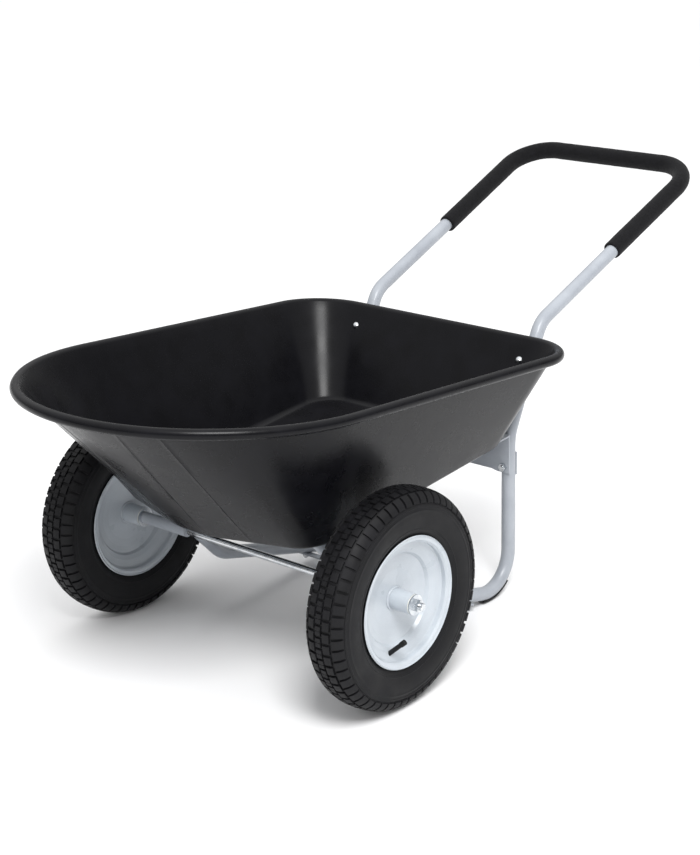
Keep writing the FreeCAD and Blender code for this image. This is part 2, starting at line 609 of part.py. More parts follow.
def side_curve(shrink_side, shrink_crown):
    """Half section of the tyre from above the flange to the crown, (axial, radius)."""
    a = BW - shrink_side
    top = TRD - shrink_crown
    base = S.flange_radius + 3.2 + shrink_side * 0.55
    mid = S.flange_radius + sec_h * 0.44
    pts = []
    for ang in (-62, -40, -18, 4, 26, 46, 62):
        r = mid + (sec_h * 0.50 - shrink_crown * 0.8) * math.sin(rad(ang))
        x = a * (0.62 + 0.38 * math.cos(rad(ang)))
        pts.append((x, max(base, r)))
    pts.append((a * 0.66, top - 4.2))
    pts.append((a * 0.36, top - 1.2))
    pts.append((0.0, top))
    return pts


outer_half = side_curve(0.0, 0.0)
inner_half = side_curve(S.tyre_wall, S.crown_wall)


tyre_outer = [(bead_x - 9, seat), (bead_x - 2.6, seat), (bead_x, seat + 3), (bead_x, S.flange_radius + 2.2)] + outer_half
tyre_inner = [(bead_x - 9, seat), (bead_x - 8.5, seat + 6)] + inner_half
ring_out = tyre_outer + [(-a, r) for a, r in reversed(tyre_outer[:-1])]
ring_in = tyre_inner + [(-a, r) for a, r in reversed(tyre_inner[:-1])]


def tyre_shape():
    whole = ring_out + list(reversed(ring_in))[1:-1]
    body = spin(whole)
    for k in (-1.5, -0.5, 0.5, 1.5):
        mid = k * S.tyre_width * 0.17
        gw = S.groove_width / 2
        drop = 1.2 * abs(k)
        body = body.cut(spin([(mid - gw, TRD - S.groove_depth - drop), (mid + gw, TRD - S.groove_depth - drop),
                              (mid + gw, TRD + 5), (mid - gw, TRD + 5)]))
    return body


def inner_tube_shape():
    def shrink(poly, d):
        n = len(poly)
        cx = 0.0
        cr = sum(r for a, r in poly) / n
        out = []
        for i in range(n):
            a, r = poly[i]
            p0, p1 = poly[i - 1], poly[(i + 1) % n]
            tx, tr = p1[0] - p0[0], p1[1] - p0[1]
            l = math.hypot(tx, tr)
            nx, nr = -tr / l, tx / l
            if (cx - a) * nx + (cr - r) * nr < 0:
                nx, nr = -nx, -nr
            out.append((a + nx * d, r + nr * d))
        return out
    base = inner_half + [(-a, r) for a, r in reversed(inner_half[:-1])]
    outer_loop = shrink(base, S.soft_gap)
    inner_loop = shrink(base, S.soft_gap + S.tube_wall)
    def face(poly):
        pts = [Vector(a, 0, r) for a, r in poly]
        return Part.Face(Part.makePolygon(pts + [pts[0]]))
    return face(outer_loop).cut(face(inner_loop)).Faces[0].revolve(Vector(0, 0, 0), Vector(1, 0, 0), 360)


def valve(sx):
    """Base point and direction of the valve in the wheel's own frame, outboard side."""
    ang = rad(S.valve_angle)
    radial = Vector(0, math.cos(ang), math.sin(ang))
    axis = (Vector(sx, 0, 0) - radial).normalize()
    base = radial * (S.well_radius - 2) + Vector(sx * S.valve_seat_out, 0, 0) - axis * 8
    return base, axis


def flip(shape, sx):
    return shape if sx > 0 else shape.mirror(Vector(0, 0, 0), Vector(1, 0, 0))


tyre_base = tyre_shape()
tube_base = inner_tube_shape()
half_base = spin(sheet_band(disc_line, S.rim_sheet))
for sx, name in ((-1, "left"), (1, "right")):
    at = Vector(sx * S.half_track, 0, AXLE_Z)
    vb, vd = valve(sx)
    hole = cyl(vb - vd * 12, vd, S.valve_diameter / 2 + 0.3, S.valve_length + 30)

    def wheel_part(label, shape):
        s = shape.copy()
        s.translate(at)
        feature(name + "_" + label, s)

    wheel_part("tyre", tyre_base)
    wheel_part("inner_tube", tube_base)
    wheel_part("rim_outer_half", flip(half_base, sx).cut(hole))
    wheel_part("rim_inner_half", flip(half_base, -sx))
    wheel_part("valve_stem", cyl(vb, vd, S.valve_diameter / 2, S.valve_length).fuse(
        cyl(vb + vd * S.valve_length, vd, S.valve_diameter * 0.36, S.cap_length - 2)))
    wheel_part("valve_cap", cyl(vb + vd * (S.valve_length + 0.02), vd, S.cap_diameter / 2, S.cap_length).cut(
        cyl(vb + vd * (S.valve_length - 1), vd, S.valve_diameter * 0.36 + 0.05, S.cap_length)))
    HI = "Sizes.hub_bore / 2"
    HE = "( " + HH + " - Sizes.bush_flange )"
    b = turned(name + "_hub", [("- " + HE, HI), ("- " + HE, "Sizes.hub_diameter / 2"), (HE, "Sizes.hub_diameter / 2"), (HE, HI)], value)
    put(b, name + "_hub", sx * S.half_track)
    bushes = []
    for e in (-1, 1):
        d = Vector(e, 0, 0)
        inner_end = at + d * (hub_half - S.bush_flange - S.bush_depth)
        face_end = at + d * (hub_half - S.bush_flange)
        bush = cyl(inner_end, d, S.hub_bore / 2, S.bush_depth).fuse(cyl(face_end, d, S.hub_diameter / 2 - 1, S.bush_flange))
        bushes.append(bush.cut(cyl(inner_end - d, d, S.axle_diameter / 2 + S.axle_running_gap, S.bush_depth + S.bush_flange + 2)).removeSplitter())
    feature(name + "_hub_bushes", Part.makeCompound(bushes))

# ---------------------------------------------------------------- small fasteners
def bolt(head_at, d, r, length, hr, hh):
    """Head's flat face at head_at, shank running along d."""
    return button(head_at, d * -1.0, hr, hh).fuse(cyl(head_at, d, r, length)).removeSplitter()


HEAD = S.head_diameter / 2
tail = S.nut_height + S.bolt_tail
wall_b, wall_n, spacers = [], [], []
leg_b, leg_n, foot_b, foot_n, floor_b, floor_n, floor_w = [], [], [], [], [], [], []
for sx in (-1, 1):
    x = sx * S.frame_half_width
    head = at_x(wall_bolt_at, x) - wall_out * (S.tray_sheet + 0.3)
    grip = S.tray_sheet + 0.3 + S.stand_off + S.tube_diameter
    wall_b.append(bolt(head, wall_out, BOLT_R, grip + tail, HEAD, S.head_height))
    wall_n.append(hexagon(head + wall_out * grip, wall_out, S.nut_flats, S.nut_height, BOLT_R + 0.02))
    spacers.append(cyl(at_x(wall_bolt_at, x) + wall_out * 0.3, wall_out, S.spacer_diameter / 2, S.stand_off - 0.3).cut(
        cyl(at_x(wall_bolt_at, x), wall_out, HOLE_R, S.stand_off + 2)))
    head = Vector(x, leg_back + S.bar_thick, S.leg_bolt_z)
    d = Vector(0, -1, 0)
    grip = S.tube_diameter + 2 * S.bar_thick
    leg_b.append(bolt(head, d, BOLT_R, grip + tail, HEAD, S.head_height))
    leg_n.append(hexagon(head + d * grip, d, S.nut_flats, S.nut_height, BOLT_R + 0.02))
    d = strut_nrm * -1.0
    head = at_x(foot_bar_p, x) + strut_nrm * R_TUBE
    grip = S.tube_diameter + S.bar_thick
    foot_b.append(bolt(head, d, SMALL_R, grip + S.small_nut_height + 2, S.small_head_diameter / 2, S.small_head_height))
    foot_n.append(hexagon(head + d * grip, d, S.small_nut_flats, S.small_nut_height, SMALL_R + 0.02))
for x, y in FLOOR_BOLTS:
    d = floor_nrm * -1.0
    top = Vector(x, y, floor_z(y)) + floor_nrm * S.tray_sheet
    grip = S.tray_sheet + S.bar_thick + S.weld_gap + 0.02
    floor_b.append(bolt(top, d, BOLT_R, grip + S.floor_washer_thick + tail, HEAD, S.head_height))
    under = top + d * grip
    floor_w.append(cyl(under, d, S.floor_washer_diameter / 2, S.floor_washer_thick).cut(cyl(under - d, d, HOLE_R, S.floor_washer_thick + 2)))
    floor_n.append(hexagon(under + d * S.floor_washer_thick, d, S.nut_flats, S.nut_height, BOLT_R + 0.02))
for label, items in (("rear_wall_bolts", wall_b), ("rear_wall_nuts", wall_n), ("rear_wall_spacers", spacers),
                     ("leg_bolts", leg_b), ("leg_nuts", leg_n), ("foot_bar_bolts", foot_b), ("foot_bar_nuts", foot_n),
                     ("floor_bolts", floor_b), ("floor_nuts", floor_n), ("floor_washers", floor_w)):
    feature(label, Part.makeCompound(items))

# ---------------------------------------------------------------- checks and files
doc.recompute()
bad = [o.Name for o in doc.Objects if "Invalid" in o.State or "Error" in o.State]
assert not bad, bad
box = None
for obj in nodes:
    shp = obj.Shape
    assert not shp.isNull() and shp.isValid() and shp.Volume > 0, obj.Label
    assert shp.Solids, obj.Label
    b = shp.BoundBox
    box = b if box is None else box.united(b)
    print("%-22s solids %2d  vol %10.1f" % (obj.Label, len(shp.Solids), shp.Volume))
print("box", [round(v, 2) for v in (box.XMin, box.XMax, box.YMin, box.YMax, box.ZMin, box.ZMax)])
os.makedirs("parts", exist_ok=True)
for obj in nodes:
    obj.Shape.exportStep("parts/" + obj.Label + ".step")
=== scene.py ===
"""Looks of a two-wheeled garden cart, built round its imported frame.

Metres, +Z up, the pouring nose towards -Y and the push handle towards +Y.
"""

import math
import random

import bmesh
import bpy
from mathutils import Matrix, Vector, noise


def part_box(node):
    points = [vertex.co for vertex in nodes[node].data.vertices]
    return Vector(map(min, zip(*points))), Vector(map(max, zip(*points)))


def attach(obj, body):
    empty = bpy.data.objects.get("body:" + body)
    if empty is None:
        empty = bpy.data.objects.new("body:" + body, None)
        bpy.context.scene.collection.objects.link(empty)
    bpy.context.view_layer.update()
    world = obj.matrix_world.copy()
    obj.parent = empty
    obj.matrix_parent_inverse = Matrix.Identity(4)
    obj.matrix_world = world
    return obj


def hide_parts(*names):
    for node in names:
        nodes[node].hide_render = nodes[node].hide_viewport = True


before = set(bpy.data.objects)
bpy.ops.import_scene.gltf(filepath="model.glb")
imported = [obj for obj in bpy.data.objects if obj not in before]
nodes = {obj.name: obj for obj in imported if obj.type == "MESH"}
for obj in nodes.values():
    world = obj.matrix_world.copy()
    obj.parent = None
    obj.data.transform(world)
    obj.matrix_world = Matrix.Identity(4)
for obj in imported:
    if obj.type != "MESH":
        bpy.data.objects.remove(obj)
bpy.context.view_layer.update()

MM = 0.001
SHEET = 1.5 * MM                 # pressed tray sheet
ROLL = 9 * MM                    # radius of the rolled rim
INSIDE_FILLET = 15 * MM          # rounding between the tray's floor and walls
ROLL_END = math.radians(-154)    # how far round the rim's roll turns back under itself
WALL_STEPS = 12                  # points up the tray wall
ROLL_STEPS = 24                  # points round the roll
CORNER_STEPS = 7                 # points round the inside fillet
HALF_FRAME = 191 * MM            # from the middle to each frame tube


# ------------------------------------------------------------------ camera
def make_camera(place, azimuth, elevation, roll, lens):
    """A camera at place that looks along the given angles, in degrees."""
    a, e, r = (math.radians(v) for v in (azimuth, elevation, roll))
    back = Vector((math.sin(a) * math.cos(e), -math.cos(a) * math.cos(e), math.sin(e)))
    level = Vector((math.cos(a), math.sin(a), 0))
    above = back.cross(level)
    right = level * math.cos(r) + above * math.sin(r)
    up = above * math.cos(r) - level * math.sin(r)
    data = bpy.data.cameras.new("studio_camera")
    data.lens = lens
    data.sensor_width = 36
    camera = bpy.data.objects.new("studio_camera", data)
    camera.matrix_world = Matrix((right, up, back)).transposed().to_4x4()
    camera.location = place
    bpy.context.scene.collection.objects.link(camera)
    bpy.context.scene.camera = camera


make_camera((2.06025, -2.45935, 1.42307), azimuth=40.98, elevation=19.09, roll=-1.463, lens=78.95)


# ------------------------------------------------------------------ materials
def linear(code):
    """An sRGB hex colour as linear red, green, blue and alpha."""
    parts = [int(code[i:i + 2], 16) / 255 for i in (1, 3, 5)]
    return [p / 12.92 if p <= 0.04045 else ((p + 0.055) / 1.055) ** 2.4 for p in parts] + [1.0]


def add(tree, kind, values=None, links=None, **fields):
    """Adds one node with its fields, its input values and its links."""
    node = tree.nodes.new(kind)
    for name, value in fields.items():
        setattr(node, name, value)
    for name, value in (values or {}).items():
        node.inputs[name].default_value = value
    for name, source in (links or {}).items():
        tree.links.new(source, node.inputs[name])
    return node


def start_material(name, **surface):
    """A new material with its shader set, its tree and the place on the object, in metres."""
    material = bpy.data.materials.new(name)
    material.use_nodes = True
    tree = material.node_tree
    tree.nodes.clear()
    shader = add(tree, "ShaderNodeBsdfPrincipled", {key.replace("_", " "): v for key, v in surface.items()})
    add(tree, "ShaderNodeOutputMaterial", links={"Surface": shader.outputs[0]})
    place = add(tree, "ShaderNodeTexCoord").outputs["Object"]
    return material, tree, shader, place


def per_metre(size_mm):
    """Texture scale whose features are about size_mm across."""
    return 1000 / size_mm


def spread(tree, source, low, high):
    """The source's 0.3 to 0.7 stretched to run from low to high."""
    return add(tree, "ShaderNodeMapRange", {"From Min": 0.3, "From Max": 0.7, "To Min": low, "To Max": high},
               {"Value": source}).outputs[0]


def tint(tree, source, dark, light):
    """A colour that goes from dark to light, as hex codes, with the source."""
    ramp = add(tree, "ShaderNodeValToRGB", links={"Fac": source})
    ramp.color_ramp.elements[0].color = linear(dark)
    ramp.color_ramp.elements[1].color = linear(light)
    ramp.color_ramp.elements[0].position = 0.3
    ramp.color_ramp.elements[1].position = 0.7
    return ramp.outputs["Color"]


def bake_enamel_black():
    """Black baked enamel on pressed steel: glossy, with a soft orange peel that blurs reflections
    and the faint long waves of drawn sheet."""
    material, tree, shader, place = start_material("black_baked_enamel", IOR=1.5, Metallic=0.0,
                                                   Specular_IOR_Level=0.16)
    peel = add(tree, "ShaderNodeTexNoise", {"Scale": per_metre(3), "Detail": 3.0}, {"Vector": place})
    waves = add(tree, "ShaderNodeTexNoise", {"Scale": per_metre(130), "Detail": 2.0}, {"Vector": place})
    dust = add(tree, "ShaderNodeTexNoise", {"Scale": per_metre(45), "Detail": 6.0}, {"Vector": place})
    speck = add(tree, "ShaderNodeTexNoise", {"Scale": per_metre(1.2), "Detail": 2.0}, {"Vector": place})
    colour = tint(tree, dust.outputs["Fac"], "#08080b", "#0e0e12")
    rough = spread(tree, dust.outputs["Fac"], 0.24, 0.32)
    lumps = add(tree, "ShaderNodeMath", {1: 0.1}, {0: speck.outputs["Fac"]}, operation="MULTIPLY")
    fine = add(tree, "ShaderNodeMath", links={0: peel.outputs["Fac"], 1: lumps.outputs[0]}, operation="ADD")
    soft = add(tree, "ShaderNodeBump", {"Strength": 0.35, "Distance": 0.0012}, {"Height": waves.outputs["Fac"]})
    skin = add(tree, "ShaderNodeBump", {"Strength": 0.12, "Distance": 0.0001},
               {"Height": fine.outputs[0], "Normal": soft.outputs[0]})
    tree.links.new(colour, shader.inputs["Base Color"])
    tree.links.new(rough, shader.inputs["Roughness"])
    tree.links.new(skin.outputs[0], shader.inputs["Normal"])
    return material


def powder_coat(name, dark, light, rough_low, rough_high, grain_mm):
    """Powder coat on welded steel: satin, a fine pebbled skin, a little darker where it is thin."""
    material, tree, shader, place = start_material(name, IOR=1.5, Metallic=0.0, Coat_Weight=0.25,
                                                   Coat_Roughness=0.2)
    cloud = add(tree, "ShaderNodeTexNoise", {"Scale": per_metre(60), "Detail": 5.0}, {"Vector": place})
    pebble = add(tree, "ShaderNodeTexNoise", {"Scale": per_metre(grain_mm), "Detail": 3.0}, {"Vector": place})
    flake = add(tree, "ShaderNodeTexVoronoi", {"Scale": per_metre(0.9)}, {"Vector": place})
    body = tint(tree, cloud.outputs["Fac"], dark, light)
    sparkle = add(tree, "ShaderNodeMapRange",
                  {"From Min": 0.0, "From Max": 1.0, "To Min": 0.95, "To Max": 1.05},
                  {"Value": flake.outputs["Distance"]})
    colour = add(tree, "ShaderNodeVectorMath", links={0: body, 1: sparkle.outputs[0]}, operation="MULTIPLY")
    bump = add(tree, "ShaderNodeBump", {"Strength": 0.2, "Distance": 0.00012},
               {"Height": pebble.outputs["Fac"]})
    tree.links.new(colour.outputs[0], shader.inputs["Base Color"])
    tree.links.new(spread(tree, cloud.outputs["Fac"], rough_low, rough_high), shader.inputs["Roughness"])
    tree.links.new(bump.outputs[0], shader.inputs["Normal"])
    return material


def zinc_plate():
    """Bright zinc plate on drawn steel: mirror-like with fine draw lines along X and faint blue mottling."""
    material, tree, shader, place = start_material("bright_zinc_plate", Metallic=1.0)
    stretch = add(tree, "ShaderNodeMapping", {"Scale": (0.02, 1.0, 1.0)}, {"Vector": place})
    lines = add(tree, "ShaderNodeTexNoise", {"Scale": per_metre(0.8), "Detail": 3.0},
                {"Vector": stretch.outputs[0]})
    mottle = add(tree, "ShaderNodeTexNoise", {"Scale": per_metre(9), "Detail": 4.0}, {"Vector": place})
    bump = add(tree, "ShaderNodeBump", {"Strength": 0.15, "Distance": 0.00005},
               {"Height": lines.outputs["Fac"]})
    tree.links.new(tint(tree, mottle.outputs["Fac"], "#b9bec4", "#dcdedf"), shader.inputs["Base Color"])
    tree.links.new(spread(tree, mottle.outputs["Fac"], 0.12, 0.26), shader.inputs["Roughness"])
    tree.links.new(bump.outputs[0], shader.inputs["Normal"])
    return material


def rubber(name, dark, light, rough_low, rough_high, grain_mm, depth_mm):
    """Vulcanised rubber: matt black with a fine moulded grain and greyer, drier patches."""
    material, tree, shader, place = start_material(name, IOR=1.52, Metallic=0.0, Specular_IOR_Level=0.2)
    bloom = add(tree, "ShaderNodeTexNoise", {"Scale": per_metre(35), "Detail": 6.0}, {"Vector": place})
    grain = add(tree, "ShaderNodeTexNoise", {"Scale": per_metre(grain_mm), "Detail": 4.0}, {"Vector": place})
    bump = add(tree, "ShaderNodeBump", {"Strength": 0.4, "Distance": depth_mm * MM},
               {"Height": grain.outputs["Fac"]})
    tree.links.new(tint(tree, bloom.outputs["Fac"], dark, light), shader.inputs["Base Color"])
    tree.links.new(spread(tree, bloom.outputs["Fac"], rough_low, rough_high), shader.inputs["Roughness"])
    tree.links.new(bump.outputs[0], shader.inputs["Normal"])
    return material


def grip_foam():
    """Closed-cell nitrile foam: very matt black skin pitted with small cells.
    The cells are drawn 1.4 mm across, about twice the real size, so that they show."""
    material, tree, shader, place = start_material("nitrile_grip_foam", IOR=1.45, Metallic=0.0,
                                                   Specular_IOR_Level=0.2, Sheen_Weight=0.05,
                                                   Sheen_Roughness=0.5)
    cells = add(tree, "ShaderNodeTexVoronoi", {"Scale": per_metre(1.4)}, {"Vector": place})
    lumps = add(tree, "ShaderNodeTexNoise", {"Scale": per_metre(7), "Detail": 5.0}, {"Vector": place})
    joined = add(tree, "ShaderNodeMath", links={0: cells.outputs["Distance"], 1: lumps.outputs["Fac"]},
                 operation="ADD")
    bump = add(tree, "ShaderNodeBump", {"Strength": 0.6, "Distance": 0.0004}, {"Height": joined.outputs[0]})
    tree.links.new(tint(tree, lumps.outputs["Fac"], "#0b0b0d", "#121215"), shader.inputs["Base Color"])
    tree.links.new(spread(tree, cells.outputs["Distance"], 0.75, 0.95), shader.inputs["Roughness"])
    tree.links.new(bump.outputs[0], shader.inputs["Normal"])
    return material


def moulded_nylon():
    """Natural moulded nylon: milky off-white, slightly waxy."""
    material, tree, shader, place = start_material("natural_nylon", IOR=1.53, Metallic=0.0,
                                                   Subsurface_Weight=0.1)
    cloud = add(tree, "ShaderNodeTexNoise", {"Scale": per_metre(12), "Detail": 3.0}, {"Vector": place})
    grain = add(tree, "ShaderNodeTexNoise", {"Scale": per_metre(0.8), "Detail": 2.0}, {"Vector": place})
    bump = add(tree, "ShaderNodeBump", {"Strength": 0.2, "Distance": 0.00005}, {"Height": grain.outputs["Fac"]})
    tree.links.new(tint(tree, cloud.outputs["Fac"], "#d6d3c8", "#e6e3da"), shader.inputs["Base Color"])
    tree.links.new(spread(tree, cloud.outputs["Fac"], 0.35, 0.5), shader.inputs["Roughness"])
    tree.links.new(bump.outputs[0], shader.inputs["Normal"])
    return material


ENAMEL = bake_enamel_black()
FRAME_COAT = powder_coat("silver_grey_powder_coat", "#9398a0", "#a4a9b0", 0.34, 0.46, 1.6)
RIM_COAT = powder_coat("pale_grey_wheel_enamel", "#adb4bb", "#bac0c6", 0.26, 0.36, 2.2)
ZINC = zinc_plate()
TYRE = rubber("tyre_rubber", "#0c0c0e", "#131316", 0.5, 0.68, 0.9, 0.12)
BUTYL = rubber("butyl_rubber", "#151516", "#1c1c1e", 0.55, 0.7, 1.5, 0.05)
VALVE = rubber("valve_rubber", "#111112", "#19191a", 0.4, 0.55, 0.7, 0.05)
PAD = rubber("foot_rubber", "#141415", "#1d1d1e", 0.6, 0.8, 1.1, 0.15)
FOAM = grip_foam()
NYLON = moulded_nylon()

WHEELS = {"left": -1, "right": 1}
FINISHES = {
    "silver grey": (FRAME_COAT, ["left_frame_tube", "right_frame_tube", "handle_tube", "rear_cross_plate",
                                 "rear_support_angle", "front_cross_bar", "foot_tie_bar", "left_axle_sleeve",
                                 "right_axle_sleeve", "rear_wall_spacers"]),
    "zinc": (ZINC, ["axle", "axle_washers", "axle_lock_nuts", "rear_wall_bolts", "rear_wall_nuts", "leg_bolts",
                    "leg_nuts", "foot_bar_bolts", "foot_bar_nuts", "floor_bolts", "floor_nuts",
                    "floor_washers"]),
    "pale grey": (RIM_COAT, [side + part for side in WHEELS for part in
                             ("_rim_outer_half", "_rim_inner_half", "_hub")]),
    "rubber feet": (PAD, ["left_foot_pad", "right_foot_pad"]),
    "valves": (VALVE, [side + part for side in WHEELS for part in ("_valve_stem", "_valve_cap")]),
    "tubes": (BUTYL, [side + "_inner_tube" for side in WHEELS]),
    "bushes": (NYLON, [side + "_hub_bushes" for side in WHEELS]),
    "enamel": (ENAMEL, ["tray"]),
    "tyres": (TYRE, [side + "_tyre" for side in WHEELS]),
    "grip": (FOAM, ["handle_foam"]),
}
for material, members in FINISHES.values():
    for name in members:
        mesh = nodes[name].data
        mesh.materials.clear()
        mesh.materials.append(material)


# ------------------------------------------------------------------ mesh help
def make_piece(name, points, faces, material, body, stands_for=(), sharp_angle=35):
    """A mesh piece with outward normals that rides on a body and takes a material slot."""
    mesh = bpy.data.meshes.new(name)
    mesh.from_pydata([tuple(p) for p in points], [], faces)
    shape = bmesh.new()
    shape.from_mesh(mesh)
    bmesh.ops.recalc_face_normals(shape, faces=shape.faces)
    shape.to_mesh(mesh)
    shape.free()
    mesh.polygons.foreach_set("use_smooth", [True] * len(mesh.polygons))
    mesh.set_sharp_from_angle(angle=math.radians(sharp_angle))
    mesh.materials.append(material)
    piece = bpy.data.objects.new(name, mesh)
    bpy.context.scene.collection.objects.link(piece)
    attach(piece, body)
    if stands_for:
        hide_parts(*stands_for)
    return piece


def ring_faces(rings, count, closed):
    """Quads between rings of count points each; closed joins the last ring to the first."""
    faces = []
    for i in range(rings if closed else rings - 1):
        a, b = i * count, (i + 1) % rings * count
        for j in range(count):
            k = (j + 1) % count
            faces.append((a + j, a + k, b + k, b + j))
    return faces


# ------------------------------------------------------------------ tray
class Outline:
    """Right half of a rounded outline on a plane that slopes along Y, from nose to back."""

    def __init__(self, corners, height, slope):
        self.height, self.slope = height, math.radians(slope)
        points = [Vector((0, corners[0][1]))] + [Vector(c[:2]) for c in corners] + [Vector((0, corners[-1][1]))]
        self.parts = []
        self.marks = [0.0]
        here = points[0]
        for i, (x, y, radius) in enumerate(corners, 1):
            u = (points[i - 1] - points[i]).normalized()
            v = (points[i + 1] - points[i]).normalized()
            half = u.angle(v) / 2
            reach = radius / math.tan(half)
            first = points[i] + u * reach
            centre = points[i] + (u + v).normalized() * (radius / math.sin(half))
            self.keep("run", (first - here).length, here, -u)
            self.keep("arc", radius * (math.pi - 2 * half), centre, (first - centre) / radius, radius)
            here = points[i] + v * reach
        self.keep("run", (points[-1] - here).length, here, v)

    def keep(self, kind, length, *facts):
        """Adds a run or an arc and notes where it ends."""
        self.parts.append((kind, length, facts))
        self.marks.append(self.marks[-1] + length)

    def at(self, distance):
        """Point on the outline and the level direction into the tray, both in space."""
        distance = min(max(distance, 0.0), self.marks[-1])
        i = max(k for k in range(len(self.parts)) if self.marks[k] <= distance + 1e-9)
        kind, length, facts = self.parts[i]
        rest = distance - self.marks[i]
        if kind == "run":
            start, along = facts
            flat = start + along * rest
            inward = Vector((-along.y, along.x))
        else:
            centre, arm, radius = facts
            turn = rest / radius
            out = Vector((arm.x * math.cos(turn) - arm.y * math.sin(turn),
                          arm.x * math.sin(turn) + arm.y * math.cos(turn)))
            flat = centre + out * radius
            inward = -out
        return self.lift(flat, self.height), self.lift(inward, 0.0)

    def lift(self, flat, height):
        """A place on the sloping plane, in space."""
        return Vector((flat.x, flat.y * math.cos(self.slope), height + flat.y * math.sin(self.slope)))

    def upward(self):
        """Square to the sloping plane."""
        return Vector((0, -math.sin(self.slope), math.cos(self.slope)))


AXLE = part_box("axle")
AXLE_Y = (AXLE[0].y + AXLE[1].y) / 2
AXLE_Z = (AXLE[0].z + AXLE[1].z) / 2


def from_axle(x, y, radius, slope):
    """A corner given in millimetres from above the axle, along its sloping plane."""
    return (x * MM, y * MM / math.cos(math.radians(slope)), radius * MM)


RIM_SLOPE, FLOOR_SLOPE = -4.18, 4.34
RIM = Outline([from_axle(129.9, -393.3, 291, RIM_SLOPE), from_axle(308.2, -200.8, 321, RIM_SLOPE),
               from_axle(308.9, 528.7, 101, RIM_SLOPE)], 503.5 * MM, RIM_SLOPE)
FLOOR = Outline([from_axle(35, -131, 100, FLOOR_SLOPE), from_axle(220, -82, 60, FLOOR_SLOPE),
                 from_axle(220, 440, 60, FLOOR_SLOPE)], 272 * MM, FLOOR_SLOPE)


def fillet(corner, along_floor, along_wall, radius, steps):
    """Points of the rounded inside corner, from the floor to the wall."""
    half = along_floor.angle(along_wall) / 2
    centre = corner + (along_floor + along_wall).normalized() * (radius / math.sin(half))
    first = corner + along_floor * (radius / math.tan(half)) - centre
    last = corner + along_wall * (radius / math.tan(half)) - centre
    return [centre + first.normalized().slerp(last.normalized(), k / steps) * radius for k in range(steps + 1)]


def tray_section(rim_at, floor_at, press):
    """One closed-up section of the sheet: inside corner, wall, roll, and back down outside."""
    top, inward = RIM.at(rim_at)
    foot, across = FLOOR.at(floor_at)
    up = RIM.upward()
    lean = math.atan2((top + inward * ROLL - foot).dot(-inward), (top - foot).dot(up))
    first_angle = math.pi - lean
    loops = []
    for radius, lift in ((ROLL, SHEET), (ROLL - SHEET, 0.0)):
        corner = foot + across * lift + FLOOR.upward() * lift
        wall_top = top - inward * (radius * math.cos(first_angle)) + up * (radius * math.sin(first_angle))
        wall = (wall_top - corner).normalized()
        bend = fillet(corner, across, wall, INSIDE_FILLET + SHEET - lift, CORNER_STEPS)
        run = wall_top - bend[-1]
        outward = wall.cross(wall.cross(inward)).normalized()
        side = [bend[-1] + run * (k / WALL_STEPS) + outward * (press * min(1, k / 2, WALL_STEPS - k))
                for k in range(1, WALL_STEPS)]
        roll = []
        for k in range(ROLL_STEPS + 1):
            turn = first_angle + (ROLL_END - first_angle) * k / ROLL_STEPS
            roll.append(top - inward * (radius * math.cos(turn)) + up * (radius * math.sin(turn)))
        loops.append(bend + side + roll)
    return loops[0] + loops[1][::-1]


def tray_stations():
    """Pairs of distances along the rim and the floor outline, with the depth of a press line."""
    rim, floor = RIM.marks, FLOOR.marks
    line_b = (rim[1] + 76 * MM, floor[1] + 6 * MM)
    line_c = (rim[1] + 150 * MM, floor[2] + 64 * MM)
    keys = [(0.0, 0.0), line_b, line_c, (rim[3], floor[3]), (rim[4], floor[4]), (rim[5], floor[5]),
            (rim[6], floor[6]), (rim[7], floor[7])]
    steps = [8, 10, 10, 26, 30, 22, 12]
    found = []
    for (a, b), count in zip(zip(keys, keys[1:]), steps):
        for k in range(count):
            mix = k / count
            found.append((a[0] + (b[0] - a[0]) * mix, a[1] + (b[1] - a[1]) * mix, 0.0))
    found.append((rim[7], floor[7], 0.0))
    edge, groove = 1.6 * MM, 0.55 * MM
    for distance, low in (line_b, line_c):
        found = [f for f in found if abs(f[0] - distance) > 3 * edge]
        found += [(distance - edge, low - edge / 3, 0.0), (distance, low, groove),
                  (distance + edge, low + edge / 3, 0.0)]
    return sorted(found)


def make_tray():
    """The pressed tray: one sheet with press lines on the nose and a rolled rim."""
    half = [tray_section(*station) for station in tray_stations()]
    mirrored = [[Vector((-p.x, p.y, p.z)) for p in section] for section in half[-2:0:-1]]
    sections = half + mirrored
    move = Vector((0, AXLE_Y, 0))
    count = len(sections[0])
    points = [p + move for section in sections for p in section]
    total = len(sections)
    faces = []
    for i in range(total):
        a, b = i * count, (i + 1) % total * count
        for j in range(count - 1):
            faces.append((a + j, a + j + 1, b + j + 1, b + j))
    faces.append([i * count for i in range(total)])
    faces.append([i * count + count - 1 for i in range(total)])
    make_piece("pressed_tray", points, faces, ENAMEL, "frame", ["tray"], sharp_angle=28)


make_tray()


# ------------------------------------------------------------------ tyres
PITCHES = 58                     # tread blocks round the tyre
LUG = 3.4 * MM                   # height of the blocks


def smooth_line(points, steps):
    """Catmull-Rom points through a few (across, radius) points."""
    found = []
    for i in range(len(points) - 1):
        a = points[max(i - 1, 0)]
        b, c = points[i], points[i + 1]
        d = points[min(i + 2, len(points) - 1)]
        for k in range(steps):
            t = k / steps
            found.append(0.5 * ((2 * b) + (c - a) * t + (2 * a - 5 * b + 4 * c - d) * t ** 2
                                + (3 * b - a - 3 * c + d) * t ** 3))
    return found + [points[-1]]


